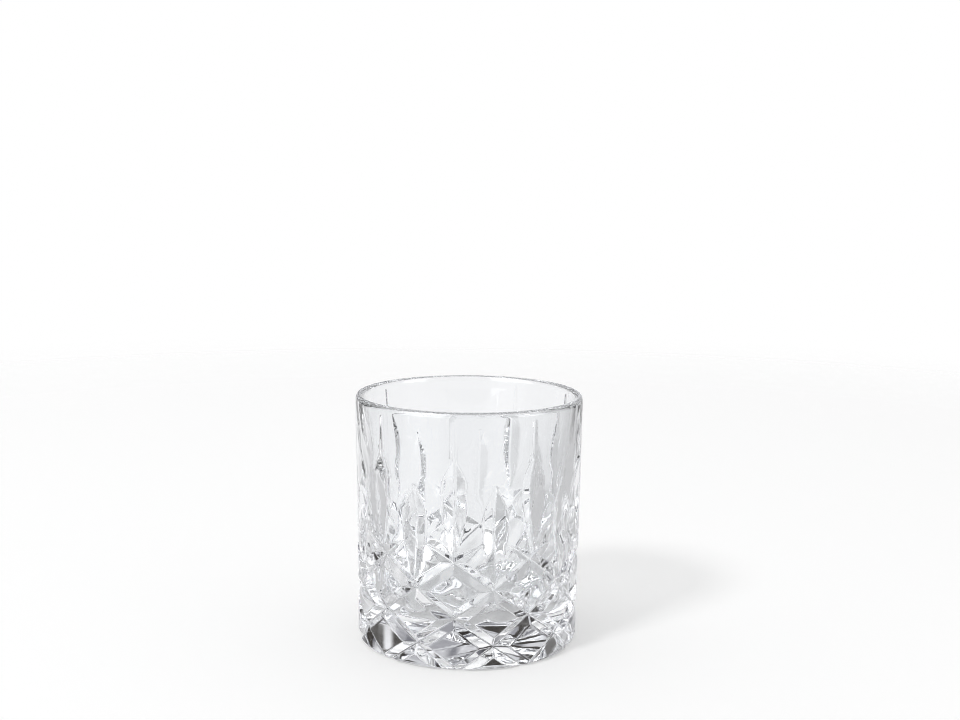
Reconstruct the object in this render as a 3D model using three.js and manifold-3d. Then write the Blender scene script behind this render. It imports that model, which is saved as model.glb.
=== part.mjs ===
// Cut-crystal whisky tumbler: one thick-walled body of clear glass, with a diamond
// lattice of mitre grooves round its lower half and pointed flutes above the lattice.
// Millimetres, +Z up, origin at the centre of the underside. Azimuth 0 faces -Y.
import * as THREE from "three";
import { mergeVertices, toCreasedNormals } from "three/addons/utils/BufferGeometryUtils.js";
import Module from "manifold-3d";

const wasm = await Module();
wasm.setup();

// Body
const height = 92;
const rimDiameter = 84;
const footDiameter = 81.6;
const heelRadius = 2;
const lipThickness = 2.6;
const floorThickness = 14;
const hollowFloorDiameter = 63;
const hollowFillet = 9;

// Diamond lattice of mitre grooves
const repeats = 9;
const lowestCrossing = 8.2;
const crossingSpacing = 10.1;
const crossingRows = 4;
const grooveWidth = 5.8;
const grooveDepth = 2;
const grooveRunOut = 7;

// Pointed flutes, one foot on each crossing of the two top rows
const upperFluteLength = 38.5;
const lowerFluteLength = 37.7;
const fluteWidth = 9;
const fluteDepth = 2.3;
const fluteFootTaper = 1.3;
const fluteHeadTaper = 0.75;

// Hairline tail that carries each upper flute on towards the rim
const tailWidth = 1.3;
const tailBelowRim = 3;

// Fineness of the facets
const roundSegments = 72;
const arcSteps = 6;
const stepsPerCrossing = 4;
const fluteSteps = 12;
const creaseAngle = Math.PI / 9;

// How far a cutter stands out of the wall
const cutterOverhang = 1;

const pitch = (2 * Math.PI) / repeats;
const lipRadius = lipThickness / 2;
const lipHeight = height - lipRadius;
const topCrossing = lowestCrossing + (crossingRows - 1) * crossingSpacing;

// Outside radius of the uncut wall, a cone from the foot up to the lip
function wallRadius(z) {
  const share = z / lipHeight;
  return (footDiameter + (rimDiameter - footDiameter) * share) / 2;
}

// Points of an arc in the half plane of the profile, angles from the outward direction
function arc(centreRadius, centreZ, radius, from, to) {
  const points = [];
  for (let i = 0; i <= arcSteps; i++) {
    const angle = from + ((to - from) * i) / arcSteps;
    const r = centreRadius + radius * Math.cos(angle);
    const z = centreZ + radius * Math.sin(angle);
    points.push(new THREE.Vector2(r, z));
  }
  return points;
}

// Half section of the blank: underside, heel, outer wall, lip, hollow, floor
function blankProfile() {
  const rimRadius = rimDiameter / 2;
  const wallLean = Math.atan((rimDiameter - footDiameter) / 2 / lipHeight);
  const heelCentre = wallRadius(heelRadius) - heelRadius / Math.cos(wallLean);
  const floorRadius = hollowFloorDiameter / 2;
  const hollowRise = lipHeight - floorThickness;
  const hollowLean = Math.atan((rimRadius - lipThickness - floorRadius) / hollowRise);
  const filletHeight = floorThickness + hollowFillet;
  const filletWall = floorRadius + hollowFillet * Math.tan(hollowLean);
  const filletCentre = filletWall - hollowFillet / Math.cos(hollowLean);
  const quarter = Math.PI / 2;
  return [
    new THREE.Vector2(0, 0),
    ...arc(heelCentre, heelRadius, heelRadius, -quarter, -wallLean),
    ...arc(rimRadius - lipRadius, lipHeight, lipRadius, 0, Math.PI),
    ...arc(filletCentre, filletHeight, hollowFillet, -hollowLean, -quarter),
    new THREE.Vector2(0, floorThickness),
  ];
}

// Closed three.js geometry to a solid that can be cut, without its collapsed triangles
function solidOf(geometry) {
  geometry.deleteAttribute("normal");
  geometry.deleteAttribute("uv");
  const merged = mergeVertices(geometry, 1e-4);
  const corners = merged.index.array;
  const kept = [];
  for (let i = 0; i < corners.length; i += 3) {
    const [a, b, c] = corners.slice(i, i + 3);
    if (a !== b && b !== c && c !== a) kept.push(a, b, c);
  }
  return new wasm.Manifold(
    new wasm.Mesh({
      numProp: 3,
      vertProperties: merged.attributes.position.array,
      triVerts: new Uint32Array(kept),
    }),
  );
}

// Cut solid back to three.js geometry, with its cut edges left sharp
function geometryOf(solid) {
  const mesh = solid.getMesh();
  const geometry = new THREE.BufferGeometry();
  const positions = new THREE.BufferAttribute(mesh.vertProperties, 3);
  geometry.setAttribute("position", positions);
  geometry.setIndex(new THREE.BufferAttribute(mesh.triVerts, 1));
  return toCreasedNormals(geometry, creaseAngle);
}

// Wheel that cuts a V: a three-sided bar along stations on the wall, each with an azimuth,
// a height and a depth. The heading is the bar's direction on the unrolled wall, measured
// from the horizontal, and widthPerDepth says how wide the V opens.
function mitreCutter(stations, heading, widthPerDepth) {
  const points = [];
  const triangles = [];
  const place = (azimuth, z, radius) => {
    points.push(radius * Math.sin(azimuth), -radius * Math.cos(azimuth), z);
  };
  for (const { azimuth, z, depth } of stations) {
    const reach = ((depth + cutterOverhang) * widthPerDepth) / 2;
    const turn = (reach * Math.sin(heading)) / wallRadius(z);
    const rise = -reach * Math.cos(heading);
    place(azimuth, z, wallRadius(z) - depth);
    place(azimuth - turn, z - rise, wallRadius(z - rise) + cutterOverhang);
    place(azimuth + turn, z + rise, wallRadius(z + rise) + cutterOverhang);
  }
  const last = 3 * (stations.length - 1);
  for (let ring = 0; ring < last; ring += 3) {
    for (let side = 0; side < 3; side++) {
      const here = ring + side;
      const beside = ring + ((side + 1) % 3);
      triangles.push(here, beside, beside + 3);
      triangles.push(here, beside + 3, here + 3);
    }
  }
  triangles.push(0, 2, 1);
  triangles.push(last, last + 1, last + 2);
  const geometry = new THREE.BufferGeometry();
  geometry.setAttribute("position", new THREE.Float32BufferAttribute(points, 3));
  geometry.setIndex(triangles);
  return solidOf(geometry);
}

// One groove of the lattice: full depth from under the foot to the top row of crossings,
// then rising out of the wall. Hand is 1 where it climbs towards rising azimuth, else -1.
function grooveCutter(startAzimuth, hand) {
  const middle = (lowestCrossing + topCrossing) / 2;
  const slope = Math.atan2(crossingSpacing, wallRadius(middle) * (pitch / 2));
  const heading = hand > 0 ? slope : Math.PI - slope;
  const bottom = lowestCrossing - crossingSpacing - grooveWidth;
  const top = topCrossing + grooveRunOut;
  const step = crossingSpacing / stepsPerCrossing;
  const count = Math.ceil((top - bottom) / step) + 1;
  const stations = [];
  for (let i = 0; i <= count; i++) {
    const z = bottom + i * step;
    const climbed = (z - lowestCrossing) / crossingSpacing;
    const left = (top - z) / grooveRunOut;
    stations.push({
      azimuth: startAzimuth + (hand * climbed * pitch) / 2,
      z,
      depth: grooveDepth * Math.min(1, left),
    });
    if (left < 0) break;
  }
  return mitreCutter(stations, heading, grooveWidth / grooveDepth);
}

// Share of a flute's full depth at a share of its length, foot 0 to head 1
function fluteShape(share) {
  const widest = fluteFootTaper / (fluteFootTaper + fluteHeadTaper);
  const foot = Math.pow(share / widest, fluteFootTaper);
  const head = Math.pow((1 - share) / (1 - widest), fluteHeadTaper);
  return foot * head;
}

// One upright flute with its foot at a crossing; a tail goes on from its head to the rim
function fluteCutter(azimuth, foot, length, hasTail) {
  const widthPerDepth = fluteWidth / fluteDepth;
  const tailDepth = tailWidth / widthPerDepth;
  const head = foot + length;
  const tailTop = height - tailBelowRim;
  const tailAt = (z) => (tailDepth * (tailTop - z)) / (tailTop - head);
  const stations = [];
  for (let i = 0; i <= fluteSteps; i++) {
    const share = (1 - Math.cos((Math.PI * i) / fluteSteps)) / 2;
    const z = foot + share * length;
    const leaf = fluteDepth * fluteShape(share);
    const tail = hasTail && share > 0.5 ? tailAt(z) : 0;
    stations.push({ azimuth, z, depth: Math.max(leaf, tail) });
  }
  if (hasTail) {
    const end = tailTop + lipRadius;
    stations.push({ azimuth, z: end, depth: tailAt(end) });
  }
  return mitreCutter(stations, Math.PI / 2, widthPerDepth);
}

// The blank is revolved, then each groove and flute is cut out of its wall
const lathe = new THREE.LatheGeometry(blankProfile(), roundSegments);
lathe.rotateX(Math.PI / 2);
let glass = solidOf(lathe);
const evenRow = (crossingRows - 1) % 2;
const secondCrossing = topCrossing - crossingSpacing;
for (let i = 0; i < repeats; i++) {
  const azimuth = i * pitch;
  const between = azimuth + pitch / 2;
  const lowest = evenRow ? between : azimuth;
  glass = glass.subtract(grooveCutter(lowest, 1));
  glass = glass.subtract(grooveCutter(lowest, -1));
  glass = glass.subtract(fluteCutter(azimuth, topCrossing, upperFluteLength, true));
  glass = glass.subtract(fluteCutter(between, secondCrossing, lowerFluteLength, false));
}

const crystal = new THREE.MeshStandardMaterial({
  color: 0xeef2f4,
  roughness: 0.03,
  metalness: 0,
  transparent: true,
  opacity: 0.35,
});
const tumbler = new THREE.Mesh(geometryOf(glass), crystal);
tumbler.name = "tumbler";

const part = new THREE.Group();
part.name = "whisky_tumbler";
part.add(tumbler);

export default part;
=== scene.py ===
# %% [markdown]
# # A cut-crystal whisky tumbler
#
# The real tumbler is a single piece of clear glass. A maker blows or presses a plain
# thick-walled blank, then holds it against a spinning wheel with a V-shaped edge. Each
# pass of the wheel leaves a groove with two flat sides, and the crossing grooves make
# the diamonds. All the sparkle comes from that shape, so this lesson spends its effort
# on a mesh whose edges lie exactly where the wheel left them.
#
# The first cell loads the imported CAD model. It is the fixed frame: everything made here
# sits in the same place, in metres, with +Z up and the origin under the tumbler.

# %% Load the frame
import math
import bpy
import numpy as np
from mathutils import Matrix, Vector


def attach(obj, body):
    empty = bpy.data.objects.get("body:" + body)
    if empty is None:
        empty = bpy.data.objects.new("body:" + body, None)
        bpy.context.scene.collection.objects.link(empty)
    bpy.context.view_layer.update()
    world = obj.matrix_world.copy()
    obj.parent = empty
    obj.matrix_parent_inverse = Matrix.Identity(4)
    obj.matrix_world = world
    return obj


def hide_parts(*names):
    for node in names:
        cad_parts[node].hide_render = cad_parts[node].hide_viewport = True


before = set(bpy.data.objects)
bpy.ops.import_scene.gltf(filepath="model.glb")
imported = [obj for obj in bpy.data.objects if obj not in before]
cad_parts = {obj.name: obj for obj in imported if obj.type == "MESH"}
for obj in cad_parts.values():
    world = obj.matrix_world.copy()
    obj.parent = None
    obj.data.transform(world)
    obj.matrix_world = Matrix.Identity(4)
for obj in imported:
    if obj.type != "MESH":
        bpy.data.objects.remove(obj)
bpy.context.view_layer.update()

# %% [markdown]
# ## The blank
#
# Before it is cut, the tumbler is a turned shape: a thick straight wall that leans out a
# little, a heavy floor and a rounded lip. It could be drawn as a curve and spun with a
# Screw modifier, but the cuts have to know the wall's radius at every height, so the
# sizes are kept here as plain numbers in millimetres and the wall as a small function.

# %% Sizes of the blank
height = 92.0
rim_radius = 42.0
foot_radius = 40.8
heel_radius = 2.0
lip_radius = 1.3
lip_rise = 2.2
floor_thickness = 14.0
hollow_floor_radius = 31.5
hollow_fillet = 9.0
lip_height = height - lip_radius


def wall_radius(z):
    """Outside radius at height z: a straight line from the foot's radius to the rim's."""
    return foot_radius + (rim_radius - foot_radius) * z / lip_height


print("wall leans out", round(wall_radius(height) - wall_radius(0), 2), "mm from foot to rim")

# %% [markdown]
# ## The lattice
#
# The grooves climb round the wall in both directions and cross in four rows. The pattern
# repeats nine times, so half a repeat is 20 degrees, and everything in it can be worked
# out inside that one slice and then copied round the axis.

# %% Sizes of the lattice
repeats = 9
lowest_crossing = 8.2
crossing_spacing = 10.1
crossing_rows = 4
groove_width = 5.8
groove_depth = 2.0
groove_run_out = 7.0
half_repeat = math.pi / repeats
second_crossing = lowest_crossing + (crossing_rows - 2) * crossing_spacing
top_crossing = lowest_crossing + (crossing_rows - 1) * crossing_spacing
print("half a repeat", math.degrees(half_repeat), "deg, top crossings at", top_crossing, "mm")

# %% [markdown]
# ## One profile for the blank
#
# One line from the middle of the underside, round the foot, up the wall, over the lip and
# down into the hollow says the whole blank. It is kept as rows of radius and height. The
# two helpers give the arcs and the straight runs. The lip is fire polished, which draws
# it up a little, so it is half an ellipse, taller than it is thick.

# %% Lip of the profile
quarter = math.pi / 2
lip_steps = 18


def arc(centre_radius, centre_z, radius, start, end, steps):
    """Points on a circle: the centre plus the radius times cosine and sine of an angle."""
    angle = np.linspace(start, end, steps + 1)
    return np.stack([centre_radius + radius * np.cos(angle), centre_z + radius * np.sin(angle)], 1)


def straight(first, last, steps):
    """Points at even shares of the way from first to last, without either end."""
    share = np.arange(1, steps)[:, None] / steps
    return np.asarray(first) + (np.asarray(last) - np.asarray(first)) * share


lip_foot = height - lip_rise
lip = arc(0, 0, 1, 0, math.pi, lip_steps) * [lip_radius, lip_rise]
lip = lip + [wall_radius(lip_foot) - lip_radius, lip_foot]
print("lip of", len(lip), "rows, top at", lip[:, 1].max(), "mm")

# %% Underside and heel
heel_steps = 8
underside_steps = 5
wall_lean = math.atan((rim_radius - foot_radius) / lip_height)
heel_centre = wall_radius(heel_radius) - heel_radius / math.cos(wall_lean)
heel = arc(heel_centre, heel_radius, heel_radius, -quarter, -wall_lean, heel_steps)
underside = np.vstack([[0, 0], straight([0, 0], heel[0], underside_steps)])
print("flat underside out to", round(heel[0, 0], 2), "mm")

# %% [markdown]
# The wall's rows are close together where the wheel will cut the lattice, twenty to each
# row of crossings so that a row falls on every crossing, and further apart above it, where
# only the flutes run.

# %% Rows of the wall
cut_columns = 20
lattice_margin = 9.0
plain_row = 0.72
row_height = crossing_spacing / cut_columns
first_row = math.floor((heel[-1, 1] - lowest_crossing) / row_height) + 2
last_row = (top_crossing + lattice_margin - lowest_crossing) / row_height
lattice_z = lowest_crossing + row_height * np.arange(first_row, last_row)
plain_count = int((lip[0, 1] - lattice_z[-1]) / plain_row)
plain_z = np.linspace(lattice_z[-1], lip[0, 1], plain_count + 1)[1:-1]
wall_z = np.concatenate([lattice_z, plain_z])
wall = np.stack([wall_radius(wall_z), wall_z], 1)
print("wall rows", len(lattice_z), "in the lattice and", len(plain_z), "above it")

# %% [markdown]
# The hollow is what the plunger of the press leaves: a straight taper, a wide fillet and a
# flat floor. The whole profile is then the runs stacked in order.

# %% Hollow and whole profile
fillet_steps = 12
hollow_steps = 56
floor_steps = 18
mouth_radius = rim_radius - 2 * lip_radius
hollow_lean = math.atan((mouth_radius - hollow_floor_radius) / (lip_height - floor_thickness))
fillet_wall = hollow_floor_radius + hollow_fillet * math.tan(hollow_lean)
fillet_centre = fillet_wall - hollow_fillet / math.cos(hollow_lean)
fillet_height = floor_thickness + hollow_fillet
fillet = arc(fillet_centre, fillet_height, hollow_fillet, -hollow_lean, -quarter, fillet_steps)
hollow_wall = straight(lip[-1], fillet[0], hollow_steps)
floor_middle = [0, floor_thickness]
hollow_floor = np.vstack([straight(fillet[-1], floor_middle, floor_steps), [floor_middle]])
profile = np.vstack([underside, heel, wall, lip, hollow_wall, fillet, hollow_floor])
cut_row_count = len(underside) + len(heel) + len(wall)
hollow_start = cut_row_count + lip_steps
print("profile rows", len(profile), "of which the wheel can reach", cut_row_count)

# %% [markdown]
# ## The cuts
#
# A wheel with a V edge takes most glass in the middle of its path and less to each side,
# so the depth of a cut falls off in a straight line with the distance from that middle.
# The cuts could be made with boolean cutters, as the CAD model does, but then the cut
# edges would carry whatever triangles the boolean leaves. Here each cut is a formula for
# depth instead, which can be asked for at any point of the wall.
#
# A groove keeps its full depth up to the top crossings, and then the wheel is lifted and
# the groove runs out.

# %% Depth of the grooves
middle_crossing = (lowest_crossing + top_crossing) / 2
groove_slope = math.atan2(crossing_spacing, wall_radius(middle_crossing) * half_repeat)


def groove_at(azimuth, z, hand):
    """Depth of the grooves of one hand, and the side of their V. The depth is the full depth less
    the slope of the side times the distance from the middle, measured across the groove; above
    the top crossings the full depth runs out in a straight line."""
    turn = azimuth - hand * (z - top_crossing) / crossing_spacing * half_repeat
    turn = (turn + half_repeat) % (2 * half_repeat) - half_repeat
    across = wall_radius(z) * turn * math.sin(groove_slope)
    height_along = z + hand * across * math.cos(groove_slope)
    left = np.minimum(1, (top_crossing + groove_run_out - height_along) / groove_run_out)
    return groove_depth * (left - np.abs(across) * 2 / groove_width), turn >= 0


print("grooves climb at", round(math.degrees(groove_slope), 1), "deg")

# %% [markdown]
# The flutes are upright cuts shaped like a blade of grass. An upper flute stands on each
# top crossing and a lower flute on each crossing of the row below, half a repeat round.
# From the head of an upper flute a hairline tail goes on almost to the rim, where the
# wheel was lifted slowly.

# %% Depth of the flutes and tails
upper_flute_length = 38.5
lower_flute_length = 37.7
flute_width = 9.0
flute_depth = 2.3
flute_foot_taper = 1.3
flute_head_taper = 0.75
flute_head_slope = 0.25
tail_width = 1.9
tail_depth = 0.9
tail_below_rim = 3.0
tail_overlap = 2.0
# a depth so small that it never wins
no_cut = -1.0


def flute_middle_depth(z, foot, length):
    """Depth along a flute's middle: a power of the way up times a power of the way down, which
    ends at the head no steeper than the head's slope."""
    share = np.clip((z - foot) / length, 0, 1)
    widest = flute_foot_taper / (flute_foot_taper + flute_head_taper)
    leaf = flute_depth * (share / widest) ** flute_foot_taper
    leaf = leaf * ((1 - share) / (1 - widest)) ** flute_head_taper
    leaf = np.minimum(leaf, flute_head_slope * (foot + length - z))
    return np.where((z < foot) | (z > foot + length), no_cut, leaf)


def tail_middle_depth(z, head):
    """Depth along a tail's middle: a straight line from the full depth at the flute's head to
    nothing at the tail's own end."""
    tail_top = height - tail_below_rim
    shrinking = tail_depth * (tail_top - z) / (tail_top - head)
    return np.where(z > head - tail_overlap, shrinking, no_cut)


heights_tried = 200
flute_z = np.linspace(top_crossing, top_crossing + upper_flute_length, heights_tried)
deepest = flute_middle_depth(flute_z, top_crossing, upper_flute_length).max()
print("upper flute cut", round(deepest, 2), "mm deep")

# %% [markdown]
# Where two cuts cross, the deeper one wins. That makes the whole pattern the largest of a
# few simple depths. The number of the winner at each point, and the side of its V, tells
# which flat face the point lies on, and the next step needs that number.

# %% Deepest cut at a point
flute_side_slope = 2 * flute_depth / flute_width
tail_side_slope = 2 * tail_depth / tail_width


def cut_depth(azimuth, z, blank_depth):
    """Depth below the straight wall, the largest of the blank's and the cuts' depths, and the
    number of the face, twice the winner's place in the list plus the side of its V."""
    radius = wall_radius(z)
    right, right_side = groove_at(azimuth, z, 1)
    left, left_side = groove_at(azimuth, z, -1)
    upper = flute_middle_depth(z, top_crossing, upper_flute_length)
    upper = upper - flute_side_slope * radius * azimuth
    lower = flute_middle_depth(z, second_crossing, lower_flute_length)
    lower = lower - flute_side_slope * radius * (half_repeat - azimuth)
    tail = tail_middle_depth(z, top_crossing + upper_flute_length)
    tail = tail - tail_side_slope * radius * azimuth
    depths = np.stack([blank_depth, right, left, upper, lower, tail])
    winner = depths.argmax(0)
    side = np.where(winner == 1, right_side, np.where(winner == 2, left_side, False))
    return depths.max(0), 2 * winner + side


crossing_cut = cut_depth(np.zeros(1), np.array([top_crossing]), np.zeros(1))[0]
print("cut at a top crossing", round(float(crossing_cut[0]), 2), "mm deep")

# %% [markdown]
# ## A grid pulled onto the cut edges
#
# A plain grid would step across the edges like stairs, and in glass every stair shows. A
# very fine grid or a Remesh would only make the stairs smaller. So each grid line that
# crosses from one face to another is searched for the crossing, by halving, and the
# nearest grid point is moved there. The slice from one flute's middle to the next is
# worked out once, as whole arrays. Its first and last columns are the mirror planes, so
# their points move only up and down.

# %% Grid of one slice
halvings = 14
# a depth so large that no cut wins, for the rows that the wheel can't reach
uncut = 99.0
row_number = np.arange(len(profile))
grid_columns = np.arange(cut_columns + 1.0)
stock = wall_radius(profile[:, 1]) - profile[:, 0]
blank_depth_rows = np.where(row_number < cut_row_count, stock, uncut)


def slice_at(column, row):
    """Depth and face at a place on the grid, given as a column and row number with fractions."""
    z = np.interp(row, row_number, profile[:, 1])
    blank_depth = np.interp(row, row_number, blank_depth_rows)
    return cut_depth(column * half_repeat / cut_columns, z, blank_depth)


def way_to_edge(column, row, step, face):
    """Share of the way to the next grid point at which the face changes, found by halving."""
    low = np.zeros(face.shape)
    high = np.ones(face.shape)
    for _ in range(halvings):
        middle = (low + high) / 2
        same = slice_at(column + step[0] * middle, row + step[1] * middle)[1] == face
        low = np.where(same, middle, low)
        high = np.where(same, high, middle)
    return low


sample_row = 60
sample = slice_at(grid_columns, np.full(len(grid_columns), float(sample_row)))[0]
print("cuts on row", sample_row, "from", round(sample.min(), 2), "to", round(sample.max(), 2), "mm")

# %% Points pulled to the edges
# shares of a grid step: points on the mirror planes stay there, so their neighbours reach further
near_reach = 0.5
mirror_reach = 0.001
beside_mirror_reach = 0.97
# further than any point can reach
unmoved = 9.0


def pulled_slice():
    """Grid columns and rows with each point moved to the nearest crossing of two faces. Neighbours
    along one axis and then the other are compared, all pairs at once."""
    column, row = np.meshgrid(grid_columns, row_number.astype(float), indexing="ij")
    face = slice_at(column, row)[1]
    move = np.zeros((2,) + face.shape)
    nearest = np.full(face.shape, unmoved)
    for axis in (0, 1):
        step = np.eye(2)[axis]
        here = (slice(None, -1), slice(None))[axis], (slice(None), slice(None, -1))[axis]
        there = (slice(1, None), slice(None))[axis], (slice(None), slice(1, None))[axis]
        crosses = face[here] != face[there]
        way = way_to_edge(column[here], row[here], step, face[here])
        reach_here = np.full(crosses.shape, near_reach)
        reach_there = np.full(crosses.shape, near_reach)
        if axis == 0:
            reach_here[0] = reach_there[-1] = mirror_reach
            reach_here[-1] = reach_there[0] = beside_mirror_reach
        ends = ((here, way, 1, reach_here), (there, 1 - way, -1, reach_there))
        for place, part, sign, reach in ends:
            take = crosses & (part <= reach) & (part < nearest[place])
            for k in (0, 1):
                move[k][place] = np.where(take, sign * step[k] * part, move[k][place])
            nearest[place] = np.where(take, part, nearest[place])
    return column + move[0], row + move[1]


slice_column, slice_row = pulled_slice()
slice_depth = slice_at(slice_column, slice_row)[0]
print("slice points", slice_column.size)

# %% [markdown]
# Each small square of the grid is two triangles. The square can be split along either
# diagonal, and the better one lies closer to the true surface, so a cut edge that runs
# slantwise through a square becomes an edge of the mesh.

# %% Diagonal of each square
low_left = (slice(None, -1), slice(None, -1))
low_right = (slice(1, None), slice(None, -1))
high_right = (slice(1, None), slice(1, None))
high_left = (slice(None, -1), slice(1, None))


def bend(first, second):
    """How far the true surface lies from the middle of a diagonal."""
    column = (slice_column[first] + slice_column[second]) / 2
    row = (slice_row[first] + slice_row[second]) / 2
    return np.abs(slice_at(column, row)[0] - (slice_depth[first] + slice_depth[second]) / 2)


rising = bend(low_left, high_right) <= bend(low_right, high_left)
print("squares split on the rising diagonal", int(rising.sum()), "of", rising.size)

# %% [markdown]
# ## Slices round the axis
#
# Slices and their mirror images alternate round the axis, eighteen in all. An Array and a
# Mirror modifier could do it, but plain array indices leave no double points to merge:
# every column round the glass is looked up in the one slice.

# %% All columns
column_count = 2 * repeats * cut_columns
slice_number, column_inside = np.divmod(np.arange(column_count), cut_columns)
plain_way = slice_number % 2 == 0
slice_place = np.where(plain_way, column_inside, cut_columns - column_inside)
slice_z = np.interp(slice_row, row_number, profile[:, 1])
plain_radius = np.interp(slice_row, row_number, profile[:, 0])
cut_radius = np.minimum(wall_radius(slice_z) - slice_depth, plain_radius)
cut_rows_end = cut_row_count - 0.5
slice_radius = np.where(slice_row < cut_rows_end, cut_radius, plain_radius)
slice_azimuth = slice_column * half_repeat / cut_columns
forward = slice_number[:, None] * half_repeat + slice_azimuth[slice_place]
mirrored = (slice_number[:, None] + 1) * half_repeat - slice_azimuth[slice_place]
azimuth = np.where(plain_way[:, None], forward, mirrored)
radius = slice_radius[slice_place]
z = slice_z[slice_place]
forward_split = rising[np.where(plain_way, column_inside, 0)]
mirrored_split = ~rising[np.where(plain_way, 0, cut_columns - 1 - column_inside)]
split = np.where(plain_way[:, None], forward_split, mirrored_split)
print("columns", column_count, "on rows", slice_z.shape[1])

# %% [markdown]
# ## Slow waves in the hollow
#
# Pressed glass is never quite even inside. Slow swells a few millimetres long are left
# where the plunger met cooling glass, and they are what bends the sharp diamonds behind
# them into curls. A bump in the material would only tilt the shading, so the swells are
# real: a few sine waves in space push the hollow's surface in and out. They fade to
# nothing towards the drinking edge and are lower on the flat floor.

# %% Waves of the hollow
wave_slope = 0.12
wave_vectors = np.array([
    [0.42, 0.18, 0.10],
    [-0.30, 0.46, 0.22],
    [0.12, -0.55, 0.36],
    [0.66, 0.30, -0.30],
    [-0.58, -0.40, 0.45],
    [0.20, 0.85, 0.16],
])
wave_phases = np.array([0.5, 2.1, 4.0, 1.0, 3.3, 5.2])
wave_full_way = 60.0
wave_growth = 2.5
wave_fade_end = 110.0
wave_fade_way = 30.0
wave_floor_share = 0.4


def hollow_waves(radius, azimuth, z, way):
    """Height of the hollow's waves in mm: a sum of plane sine waves in space, each as high as its
    length allows, times a power of the way down from the lip, times a share that falls off over
    the floor."""
    place = np.stack([radius * np.sin(azimuth), -radius * np.cos(azimuth), z], -1)
    turns = place @ wave_vectors.T + wave_phases
    heights = 1 / np.linalg.norm(wave_vectors, axis=1)
    swell = wave_slope * (np.sin(turns) @ heights)
    growth = np.clip(way / wave_full_way, 0, 1) ** wave_growth
    return swell * growth * np.clip((wave_fade_end - way) / wave_fade_way, wave_floor_share, 1)


way_steps = np.linalg.norm(np.diff(profile, axis=0), axis=1)
way_down = np.concatenate([[0], np.cumsum(way_steps)])
way_down = way_down - way_down[hollow_start]
along = np.gradient(profile, axis=0)
along = along / np.linalg.norm(along, axis=1)[:, None]
into_air = np.stack([along[:, 1], -along[:, 0]], 1)
hollow = np.s_[:, hollow_start:]
heap = hollow_waves(radius[hollow], azimuth[hollow], z[hollow], way_down[hollow_start:])
radius[hollow] += heap * into_air[hollow_start:, 0]
z[hollow] += heap * into_air[hollow_start:, 1]
print("waves from", round(heap.min(), 2), "to", round(heap.max(), 2), "mm")

# %% [markdown]
# ## The closed glass
#
# The two poles, the middle of the underside and the middle of the hollow's floor, are
# single points, so the surface closes with no seam. Faces point outwards, into the air,
# on the outside and in the hollow alike, because the solid between them is the glass.

# %% Points and triangles
millimetre = 0.001


def closed_surface():
    """Points at radius times sine, minus radius times cosine, and height, between two poles; two
    triangles for each square of neighbouring columns and rows, and a fan round each pole."""
    ring = np.stack([radius * np.sin(azimuth), -radius * np.cos(azimuth), z], -1)[:, 1:-1]
    pole_z = floor_thickness + hollow_waves(0.0, 0.0, floor_thickness, way_down[-1])
    points = np.vstack([ring.reshape(-1, 3), [[0, 0, 0]], [[0, 0, pole_z]]]) * millimetre
    rows = ring.shape[1]
    index = np.arange(column_count * rows).reshape(column_count, rows)
    after = np.roll(index, -1, 0)
    a, b, c, d = index[:, :-1], after[:, :-1], after[:, 1:], index[:, 1:]
    way = split[:, 1:-1, None]
    one = np.where(way, np.stack([a, b, c], -1), np.stack([a, b, d], -1)).reshape(-1, 3)
    two = np.where(way, np.stack([a, c, d], -1), np.stack([b, c, d], -1)).reshape(-1, 3)
    foot_pole = np.full(column_count, column_count * rows)
    under = np.stack([foot_pole, after[:, 0], index[:, 0]], -1)
    floor = np.stack([foot_pole + 1, index[:, -1], after[:, -1]], -1)
    return points, np.vstack([one, two, under, floor])


points, triangles = closed_surface()
corners = points[triangles]
volume = np.einsum("ij,ij->i", corners[:, 0], np.cross(corners[:, 1], corners[:, 2])).sum() / 6
print("triangles", len(triangles), "glass", round(volume * 1e6, 1), "cubic centimetres")

# %% [markdown]
# The arrays go into a Blender mesh in one go with foreach_set. The new object takes the
# place of the CAD solid, rides on the part's one body and takes the crystal's slot.

# %% Mesh of the tumbler


def mesh_object(name, points, triangles):
    """New object at the origin with its place in its mesh, filled from whole arrays."""
    mesh = bpy.data.meshes.new(name)
    mesh.vertices.add(len(points))
    mesh.vertices.foreach_set("co", np.asarray(points, np.float32).ravel())
    mesh.loops.add(triangles.size)
    mesh.loops.foreach_set("vertex_index", np.asarray(triangles, np.int32).ravel())
    mesh.polygons.add(len(triangles))
    mesh.polygons.foreach_set("loop_start", np.arange(0, triangles.size, 3, dtype=np.int32))
    mesh.polygons.foreach_set("use_smooth", np.ones(len(triangles), bool))
    mesh.update(calc_edges=True)
    mesh.validate()
    made = bpy.data.objects.new(name, mesh)
    bpy.context.scene.collection.objects.link(made)
    return made


glass = mesh_object("cut_crystal_tumbler", points, triangles)
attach(glass, "root")
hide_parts("tumbler")
print("tumbler mesh", len(glass.data.vertices), "points", len(glass.data.polygons), "triangles")

# %% [markdown]
# ## Helpers for node trees
#
# The crystal, the floor and the room are all made of shader nodes. Adding and linking
# nodes one by one takes many lines, so a few small helpers do the common steps: a node
# with its settings, a soft step, a sum, a product, a soft range of angles and a blend of
# colours.

# %% Helpers for nodes and sums


def add_node(tree, kind, **settings):
    """New node of a kind in a tree, with its settings."""
    node = tree.nodes.new(kind)
    for name, value in settings.items():
        setattr(node, name, value)
    return node


def maths(tree, operation, first, second):
    """One sum on two values, each a socket or a number."""
    node = add_node(tree, "ShaderNodeMath", operation=operation)
    for place, value in enumerate((first, second)):
        if isinstance(value, (int, float)):
            node.inputs[place].default_value = value
        else:
            tree.links.new(value, node.inputs[place])
    return node.outputs[0]


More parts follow.
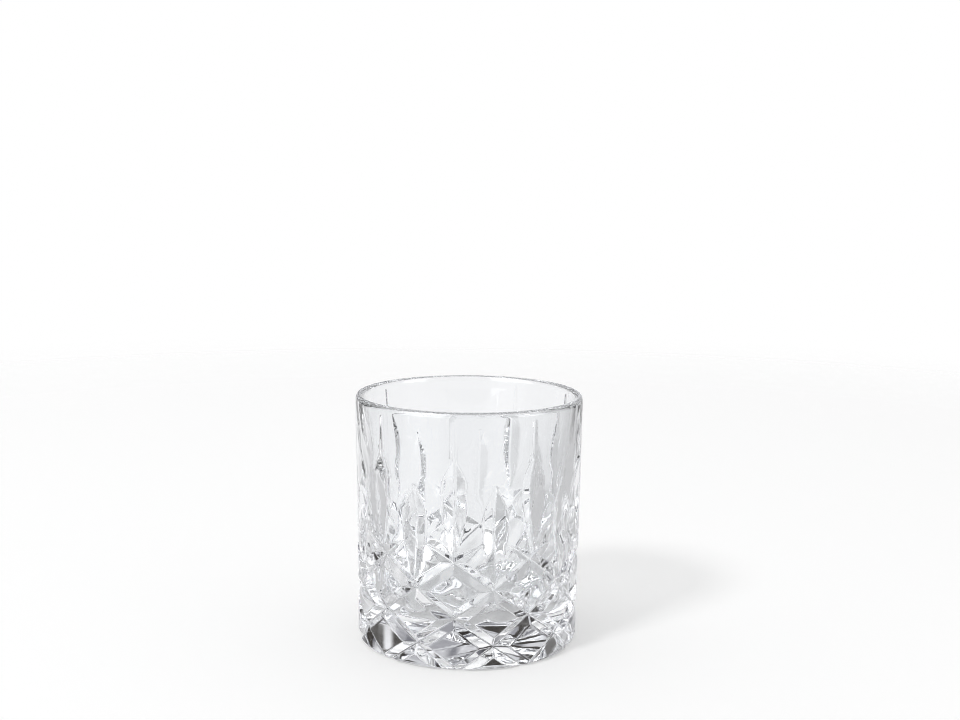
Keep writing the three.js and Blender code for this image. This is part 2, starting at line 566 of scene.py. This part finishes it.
def product(tree, value, *others):
    """Several values multiplied one after another, each a socket or a number."""
    for other in others:
        value = maths(tree, "MULTIPLY", value, other)
    return value


print("helpers for nodes and sums ready")

# %% Helpers for steps and colours


def smooth_step(tree, value, low, high):
    """0 below low, 1 above high and a smooth rise between them."""
    step = add_node(tree, "ShaderNodeMapRange", interpolation_type="SMOOTHSTEP")
    step.inputs["From Min"].default_value = low
    step.inputs["From Max"].default_value = high
    tree.links.new(value, step.inputs["Value"])
    return step.outputs["Result"]


def falling_step(tree, value, low, high):
    """1 below low, 0 above high and a smooth fall between them."""
    return maths(tree, "SUBTRACT", 1, smooth_step(tree, value, low, high))


def between(tree, value, low, high, soft):
    """1 where a value in radians lies between two limits given in degrees, with soft edges."""
    low, high, soft = math.radians(low), math.radians(high), math.radians(soft)
    begun = smooth_step(tree, value, low - soft, low + soft)
    ended = smooth_step(tree, value, high - soft, high + soft)
    return maths(tree, "SUBTRACT", begun, ended)


def blend(tree, share, first, second):
    """Colour that goes from first to second as share goes from 0 to 1. A Mix node has sockets A and
    B for every kind of data, so the ones for colours are picked out."""
    mix = add_node(tree, "ShaderNodeMix", data_type="RGBA")
    tree.links.new(share, mix.inputs["Factor"])
    for place, value in (("A", first), ("B", second)):
        socket = [s for s in mix.inputs if s.name == place and s.type == "RGBA"][0]
        if isinstance(value, tuple):
            socket.default_value = value
        else:
            tree.links.new(value, socket)
    return [s for s in mix.outputs if s.type == "RGBA"][0]


print("helpers for steps and colours ready")

# %% [markdown]
# ## The crystal
#
# Crystal glass bends light a little more than window glass, so its index is 1.53, and it
# lets everything through, so its transmission is 1. That could be the whole material, but
# a perfect surface looks like plastic. On the real glass the hollow keeps small ripples
# from the press and the ground foot a trace of them, the polish varies a little from place
# to place, and the glass has a breath of grey. One node group works all three out from the
# place on the glass in Object coordinates. The outside wall gets no ripples, because the
# wheel and the polish leave it flat.

# %% Where the ripples lie
ripple_fade_start = 0.031
ripple_top = 0.062
wall_middle_radius = 0.0352
wall_middle_lean = 0.06
foot_level = 0.001
foot_ripple_share = 0.06


def ripple_share(group, place):
    """1 inside the cone that lies in the middle of the wall and 0 outside it, far less under the
    foot; the share fades out with height up to the ripples' top."""
    parts = add_node(group, "ShaderNodeSeparateXYZ")
    group.links.new(place, parts.inputs[0])
    flat = add_node(group, "ShaderNodeCombineXYZ")
    group.links.new(parts.outputs["X"], flat.inputs["X"])
    group.links.new(parts.outputs["Y"], flat.inputs["Y"])
    out = add_node(group, "ShaderNodeVectorMath", operation="LENGTH")
    group.links.new(flat.outputs[0], out.inputs[0])
    up = parts.outputs["Z"]
    lean = maths(group, "MULTIPLY", up, wall_middle_lean)
    wall_middle = maths(group, "ADD", lean, wall_middle_radius)
    inside = maths(group, "LESS_THAN", out.outputs["Value"], wall_middle)
    under_foot = maths(group, "LESS_THAN", up, foot_level)
    missing = maths(group, "MULTIPLY", under_foot, 1 - foot_ripple_share)
    strength = maths(group, "SUBTRACT", 1, missing)
    low = falling_step(group, up, ripple_fade_start, ripple_top)
    return product(group, inside, strength, low)


print("ripples fade out from", ripple_fade_start, "to", ripple_top, "m up")

# %% Ripples of the press
ripple_size = 0.0055
ripple_height = 0.00027
ripple_detail = 1.0
cloud_scale = 30.0
polish_roughness = 0.004
cool_tint = (0.948, 0.957, 0.964, 1)
clear_tint = (0.962, 0.969, 0.973, 1)


def press_group():
    """Node group from a place on the glass to the height of the ripples, noise times their share
    times their height, and to a faint tint and a faint roughness that follow a slower noise."""
    group = bpy.data.node_groups.new("press_ripples", "ShaderNodeTree")
    group.interface.new_socket("Place", in_out="INPUT", socket_type="NodeSocketVector")
    group.interface.new_socket("Height", in_out="OUTPUT", socket_type="NodeSocketFloat")
    group.interface.new_socket("Tint", in_out="OUTPUT", socket_type="NodeSocketColor")
    group.interface.new_socket("Roughness", in_out="OUTPUT", socket_type="NodeSocketFloat")
    place = add_node(group, "NodeGroupInput").outputs["Place"]
    leave = add_node(group, "NodeGroupOutput")
    noise = add_node(group, "ShaderNodeTexNoise")
    noise.inputs["Scale"].default_value = 1 / ripple_size
    noise.inputs["Detail"].default_value = ripple_detail
    group.links.new(place, noise.inputs["Vector"])
    ripple = product(group, noise.outputs[0], ripple_share(group, place), ripple_height)
    group.links.new(ripple, leave.inputs["Height"])
    cloud = add_node(group, "ShaderNodeTexNoise")
    cloud.inputs["Scale"].default_value = cloud_scale
    group.links.new(place, cloud.inputs["Vector"])
    group.links.new(blend(group, cloud.outputs[0], cool_tint, clear_tint), leave.inputs["Tint"])
    rough = maths(group, "MULTIPLY", cloud.outputs[0], polish_roughness)
    group.links.new(rough, leave.inputs["Roughness"])
    return group


press_ripples = press_group()
print("ripple group of", len(press_ripples.nodes), "nodes")

# %% Crystal material
glass_index = 1.53
all_through = 1.0
crystal = bpy.data.materials.new("clear_crystal")
crystal.use_nodes = True
tree = crystal.node_tree
shader = tree.nodes["Principled BSDF"]
shader.inputs["IOR"].default_value = glass_index
shader.inputs["Transmission Weight"].default_value = all_through
coord = add_node(tree, "ShaderNodeTexCoord")
ripples = add_node(tree, "ShaderNodeGroup", node_tree=press_ripples)
tree.links.new(coord.outputs["Object"], ripples.inputs["Place"])
tree.links.new(ripples.outputs["Tint"], shader.inputs["Base Color"])
tree.links.new(ripples.outputs["Roughness"], shader.inputs["Roughness"])
bump = add_node(tree, "ShaderNodeBump")
# the ripples' height is in metres already, so the bump takes it as it is
bump.inputs["Distance"].default_value = 1.0
tree.links.new(ripples.outputs["Height"], bump.inputs["Height"])
tree.links.new(bump.outputs["Normal"], shader.inputs["Normal"])
glass.data.materials.append(crystal)
print("crystal with index", glass_index)

# %% [markdown]
# ## The floor
#
# The tumbler stands on a sheet of pale paper. The sheet lies a hair below the foot, so
# that glass and paper never share a surface, which would flicker.

# %% Floor sheet
sheet_half = 4.0
sheet_drop = 0.0004
sheet_x = np.array([-sheet_half, sheet_half, sheet_half, -sheet_half])
sheet_y = np.array([-sheet_half, -sheet_half, sheet_half, sheet_half])
sheet_points = np.stack([sheet_x, sheet_y, np.full(4, -sheet_drop)], 1)
studio_floor = mesh_object("studio_floor", sheet_points, np.array([[0, 1, 2], [0, 2, 3]]))
print("floor sheet", 2 * sheet_half, "m wide")

# %% [markdown]
# Glass shows nothing but its surroundings, so what the paper gives back to the glass is
# part of the picture, and it differs from one direction to the next. It could be painted on
# the sheet, but an angle, a distance and a few soft steps say it more plainly. The angles
# go round the tumbler from straight behind it, as the photograph's camera stands.

# %% Directions on the paper
camera_azimuth = math.radians(6.79)


def angle_from_behind(tree, direction):
    """Angle round the upright axis from straight behind the tumbler, the arc tangent of x over y
    after a turn by the camera's azimuth, and the turned y and z."""
    turned = add_node(tree, "ShaderNodeMapping")
    turned.inputs["Rotation"].default_value = (0, 0, -camera_azimuth)
    tree.links.new(direction, turned.inputs["Vector"])
    parts = add_node(tree, "ShaderNodeSeparateXYZ")
    tree.links.new(turned.outputs["Vector"], parts.inputs[0])
    angle = maths(tree, "ARCTAN2", parts.outputs["X"], parts.outputs["Y"])
    return angle, parts.outputs["Y"], parts.outputs["Z"]


paper = bpy.data.materials.new("floor_paper")
paper.use_nodes = True
tree = paper.node_tree
on_sheet = add_node(tree, "ShaderNodeTexCoord").outputs["Object"]
distance = add_node(tree, "ShaderNodeVectorMath", operation="LENGTH")
tree.links.new(on_sheet, distance.inputs[0])
away = distance.outputs["Value"]
around, backward, _ = angle_from_behind(tree, on_sheet)
print("the camera stands", round(math.degrees(camera_azimuth), 2), "deg round from -Y")

# %% [markdown]
# The path tracer can't bring much light through the heavy base onto the paper beneath it.
# So light is painted there: the paper glows a little for the rays that arrive through the
# glass, more at the back of the foot than at the front. Distances are in metres from the axis.

# %% Painted light under the foot
front_glow = 0.27
under_glow = 0.38
glow_rise_start = -0.026
foot_inner = 0.036
foot_outer = 0.042
backness = smooth_step(tree, backward, glow_rise_start, 0)
graded = maths(tree, "MULTIPLY", backness, under_glow - front_glow)
graded = maths(tree, "ADD", graded, front_glow)
# painted light: the glow on the paper under the foot, graded from front to back
under = maths(tree, "MULTIPLY", falling_step(tree, away, foot_inner, foot_outer), graded)
print("glow under the foot", front_glow, "in front and", under_glow, "behind")

# %% [markdown]
# Behind and beside the tumbler the paper glows with painted window light. Close behind it
# lie a painted pool of the light that the glass throws and the painted lighter middle of
# its shadow. Each is a range of angles times a range of distances, and where they meet the
# brightest counts.

# %% Painted light beside and behind the foot
behind_glow = 0.38
pool_glow = 0.8
shade_glow = 0.36
ring_inner = 0.046
ring_full = 0.052
ring_fading = 0.09
ring_outer = 0.12
# left and right limits and softness in degrees
back_range = (-54, 22, 14)
front_left_range = (-155, -115, 10)
pool_range = (-55, -8, 6)
shade_range = (-8, 78, 6)
back = between(tree, around, *back_range)
front_left = between(tree, around, *front_left_range)
lit_paper = maths(tree, "MAXIMUM", back, front_left)
clear_of_foot = smooth_step(tree, away, foot_inner, ring_inner)
# painted window light on the paper behind and beside the tumbler
behind = product(tree, lit_paper, clear_of_foot, behind_glow)
ring_begun = smooth_step(tree, away, ring_inner, ring_full)
near = product(tree, ring_begun, falling_step(tree, away, ring_fading, ring_outer))
# painted pool of light and painted lighter middle of the shadow, in a ring close to the foot
painted_pool = product(tree, near, between(tree, around, *pool_range), pool_glow)
painted_shadow_glow = product(tree, near, between(tree, around, *shade_range), shade_glow)
# the paper's painted glow: the brightest of the painted lights under, behind and beside the foot
painted_glow = under
for glow in (behind, painted_pool, painted_shadow_glow):
    painted_glow = maths(tree, "MAXIMUM", painted_glow, glow)
print("paper tree of", len(tree.nodes), "nodes so far")

# %% [markdown]
# The Light Path node tells a camera ray from the rest, so the camera sees plain white paper
# and only the glass sees the painted glow. Far from the tumbler the sheet fades out to the
# white of the room, so there is no line where the floor ends.

# %% Paper for the camera and for the glass
camera_glow = 0.25
fade_start = 0.5
fade_end = 0.9
paper_roughness = 0.8
paper_gloss = 0.1
paper_for_glass = (0.78, 0.78, 0.79, 1)
paper_for_camera = (0.95, 0.95, 0.95, 1)
white = (1, 1, 1, 1)
sheet = tree.nodes["Principled BSDF"]
sheet.inputs["Roughness"].default_value = paper_roughness
sheet.inputs["Specular IOR Level"].default_value = paper_gloss
sheet.inputs["Emission Color"].default_value = white
seen = add_node(tree, "ShaderNodeLightPath").outputs["Is Camera Ray"]
paper_colour = blend(tree, seen, paper_for_glass, paper_for_camera)
tree.links.new(paper_colour, sheet.inputs["Base Color"])
shown_glow = add_node(tree, "ShaderNodeMix", data_type="FLOAT")
tree.links.new(seen, shown_glow.inputs["Factor"])
tree.links.new(painted_glow, shown_glow.inputs["A"])
shown_glow.inputs["B"].default_value = camera_glow
tree.links.new(shown_glow.outputs[0], sheet.inputs["Emission Strength"])
clear = add_node(tree, "ShaderNodeBsdfTransparent")
faded = add_node(tree, "ShaderNodeMixShader")
far_away = maths(tree, "MULTIPLY", smooth_step(tree, away, fade_start, fade_end), seen)
tree.links.new(far_away, faded.inputs["Fac"])
tree.links.new(sheet.outputs["BSDF"], faded.inputs[1])
tree.links.new(clear.outputs["BSDF"], faded.inputs[2])
tree.links.new(faded.outputs["Shader"], tree.nodes["Material Output"].inputs["Surface"])
studio_floor.data.materials.append(paper)
print("paper fades out from", fade_start, "to", fade_end, "m")

# %% [markdown]
# ## The room
#
# Photographers light cut glass with large white panels and set black flags between them,
# because clear glass is drawn by the edges between bright and dark. The room here is the
# world shader: a dim grey with panels, each a range of angles round the tumbler and above
# the table, with soft edges. The right flag has a stepped slit, which draws a light band
# through the darkest diamond. Real plane lights would do too, but a world shader has no
# noise of its own and its panels never get in the way of another camera.

# %% Panels of the room
room_grey = (0.2, 0.2, 0.225, 1)
# name, left and right limits from straight behind in degrees, low and high limits, colour
studio_panels = (
    ("backdrop", -5, 20, -3, 30, (0.66, 0.665, 0.69, 1)),
    ("backdrop_fold", -10, 20, 5, 9, (0.34, 0.34, 0.37, 1)),
    ("backdrop_top", -10, 20, 17, 21, (0.36, 0.36, 0.39, 1)),
    ("left_gap", -100, -9, -1.5, 2, (0.03, 0.03, 0.035, 1)),
    ("right_gap", 20, 100, -1.5, 2, (0.03, 0.03, 0.035, 1)),
    ("left_wall", -110, -9, 2, 8, (0.7, 0.7, 0.73, 1)),
    ("right_wall", 20, 110, 2, 8, (0.7, 0.7, 0.73, 1)),
    ("top_softbox", -50, 50, 40, 62, (1.3, 1.32, 1.36, 1)),
    ("left_flag", -64, -5, 6, 38, (0.026, 0.021, 0.017, 1)),
    ("right_flag", 20, 62, 6, 33, (0.03, 0.024, 0.018, 1)),
    ("right_slit", 39, 44, 8, 18.5, (0.9, 0.9, 0.92, 1)),
    ("right_slit_top", 33, 39, 18.5, 31, (0.9, 0.9, 0.92, 1)),
    ("left_window", -155, -104, -2, 60, (3.2, 3.23, 3.3, 1)),
    ("right_window", 100, 130, -2, 45, (2.8, 2.83, 2.9, 1)),
    ("left_lamp", -137, -127, -1, 6, (6, 6, 6.1, 1)),
    ("right_lamp", 111, 121, -1, 6, (6, 6, 6.1, 1)),
)
print("room with", len(studio_panels), "panels")

# %% Room in the world shader
side_softness = 2
rise_softness = 1.5
scene = bpy.context.scene
world = bpy.data.worlds.new("studio")
scene.world = world
world.use_nodes = True
tree = world.node_tree
tree.nodes.clear()
outward = add_node(tree, "ShaderNodeTexCoord").outputs["Generated"]
from_behind, _, upward = angle_from_behind(tree, outward)
arcsine = add_node(tree, "ShaderNodeMath", operation="ARCSINE")
tree.links.new(upward, arcsine.inputs[0])
rise = arcsine.outputs[0]
room = room_grey
for name, left, right, low, high, colour in studio_panels:
    across = between(tree, from_behind, left, right, side_softness)
    up = between(tree, rise, low, high, rise_softness)
    room = blend(tree, maths(tree, "MULTIPLY", across, up), room, colour)
    room.node.label = name
print("room tree of", len(tree.nodes), "nodes so far")

# %% [markdown]
# The glass sees the panels. The paper gets an even fill instead, so that it stays plain,
# and the camera sees a white background. The world isn't sampled as a light, because the
# key light gives the shadow and the rest arrives along the rays that the glass bends.

# %% What each ray sees of the room
fill_strength = 0.62
world.cycles.sampling_method = "NONE"
studio = add_node(tree, "ShaderNodeBackground")
tree.links.new(room, studio.inputs["Color"])
fill = add_node(tree, "ShaderNodeBackground")
fill.inputs["Color"].default_value = white
fill.inputs["Strength"].default_value = fill_strength
background = add_node(tree, "ShaderNodeBackground")
background.inputs["Color"].default_value = white
path = add_node(tree, "ShaderNodeLightPath")
filled = add_node(tree, "ShaderNodeMixShader")
off_paper = maths(tree, "MINIMUM", path.outputs["Diffuse Depth"], 1)
tree.links.new(off_paper, filled.inputs["Fac"])
tree.links.new(studio.outputs[0], filled.inputs[1])
tree.links.new(fill.outputs[0], filled.inputs[2])
shown = add_node(tree, "ShaderNodeMixShader")
tree.links.new(path.outputs["Is Camera Ray"], shown.inputs["Fac"])
tree.links.new(filled.outputs[0], shown.inputs[1])
tree.links.new(background.outputs[0], shown.inputs[2])
room_output = add_node(tree, "ShaderNodeOutputWorld")
tree.links.new(shown.outputs[0], room_output.inputs["Surface"])
print("world tree of", len(tree.nodes), "nodes")

# %% [markdown]
# ## The key light
#
# One square softbox, high on the left in front of the tumbler, throws the soft shadow to
# the right. It is four metres away, so the shadow's edge is soft but still readable.

# %% Key softbox
key_side = math.radians(-42)
key_rise = math.radians(42)
key_distance = 4.0
key_width = 0.7
key_power = 40
key_azimuth = camera_azimuth + key_side
key_flat = math.cos(key_rise)
key_x = math.sin(key_azimuth) * key_flat
key_y = -math.cos(key_azimuth) * key_flat
key_way = Vector((key_x, key_y, math.sin(key_rise)))
tumbler_middle = Vector((0, 0, 0.04))
key_data = bpy.data.lights.new("key_softbox", "AREA")
key_data.shape = "RECTANGLE"
key_data.size = key_width
key_data.size_y = key_width
key_data.energy = key_power
key = bpy.data.objects.new("key_softbox", key_data)
scene.collection.objects.link(key)
key.location = tumbler_middle + key_way * key_distance
key.rotation_mode = "QUATERNION"
key.rotation_quaternion = (-key_way).to_track_quat("-Z", "Y")
key.visible_camera = False
print("key light at", tuple(round(value, 2) for value in key.location))

# %% [markdown]
# ## The camera
#
# The camera stands where the photograph was taken from: half a metre away and a little
# above the rim. Its place and its lens were worked out from the rim's ellipse, the outline
# of the base and the crossings of the lattice. The photograph is 960 pixels wide, which
# turns a focal length in pixels into millimetres on a 36 mm sensor.

# %% Camera
sensor_width = 36
focal_pixels = 1397.9
image_width = 960
camera_away = 0.5091
camera_height = 0.17975
camera_pan = math.radians(0.434)
camera_tilt = math.radians(8.442)
camera_roll = math.radians(0.563)
lens = bpy.data.cameras.new("photo_camera")
lens.sensor_width = sensor_width
lens.lens = focal_pixels / image_width * sensor_width
lens.clip_start = 0.01
lens.clip_end = 50
camera = bpy.data.objects.new("photo_camera", lens)
scene.collection.objects.link(camera)
camera_x = camera_away * math.sin(camera_azimuth)
camera_y = -camera_away * math.cos(camera_azimuth)
stand = Matrix.Translation((camera_x, camera_y, camera_height))
pan = Matrix.Rotation(camera_azimuth - camera_pan, 4, "Z")
tilt = Matrix.Rotation(quarter - camera_tilt, 4, "X")
roll = Matrix.Rotation(camera_roll, 4, "Z")
camera.matrix_world = stand @ pan @ tilt @ roll
scene.camera = camera
print("lens", round(lens.lens, 1), "mm")

# %% [markdown]
# ## Light paths and colour
#
# A ray can cross the cut wall many times before it gets out, and where the bounces run out
# the glass turns black, so the limits are raised. The plain colour view keeps white paper
# white, and a narrow pixel filter keeps the cut edges crisp.

# %% Light paths and colour
scene.view_settings.view_transform = "Standard"
scene.cycles.max_bounces = 24
scene.cycles.transmission_bounces = 24
scene.cycles.glossy_bounces = 12
scene.cycles.transparent_max_bounces = 12
scene.cycles.caustics_refractive = True
scene.cycles.caustics_reflective = True
scene.cycles.use_denoising = True
scene.cycles.filter_width = 1.0
print("light may bounce", scene.cycles.max_bounces, "times")
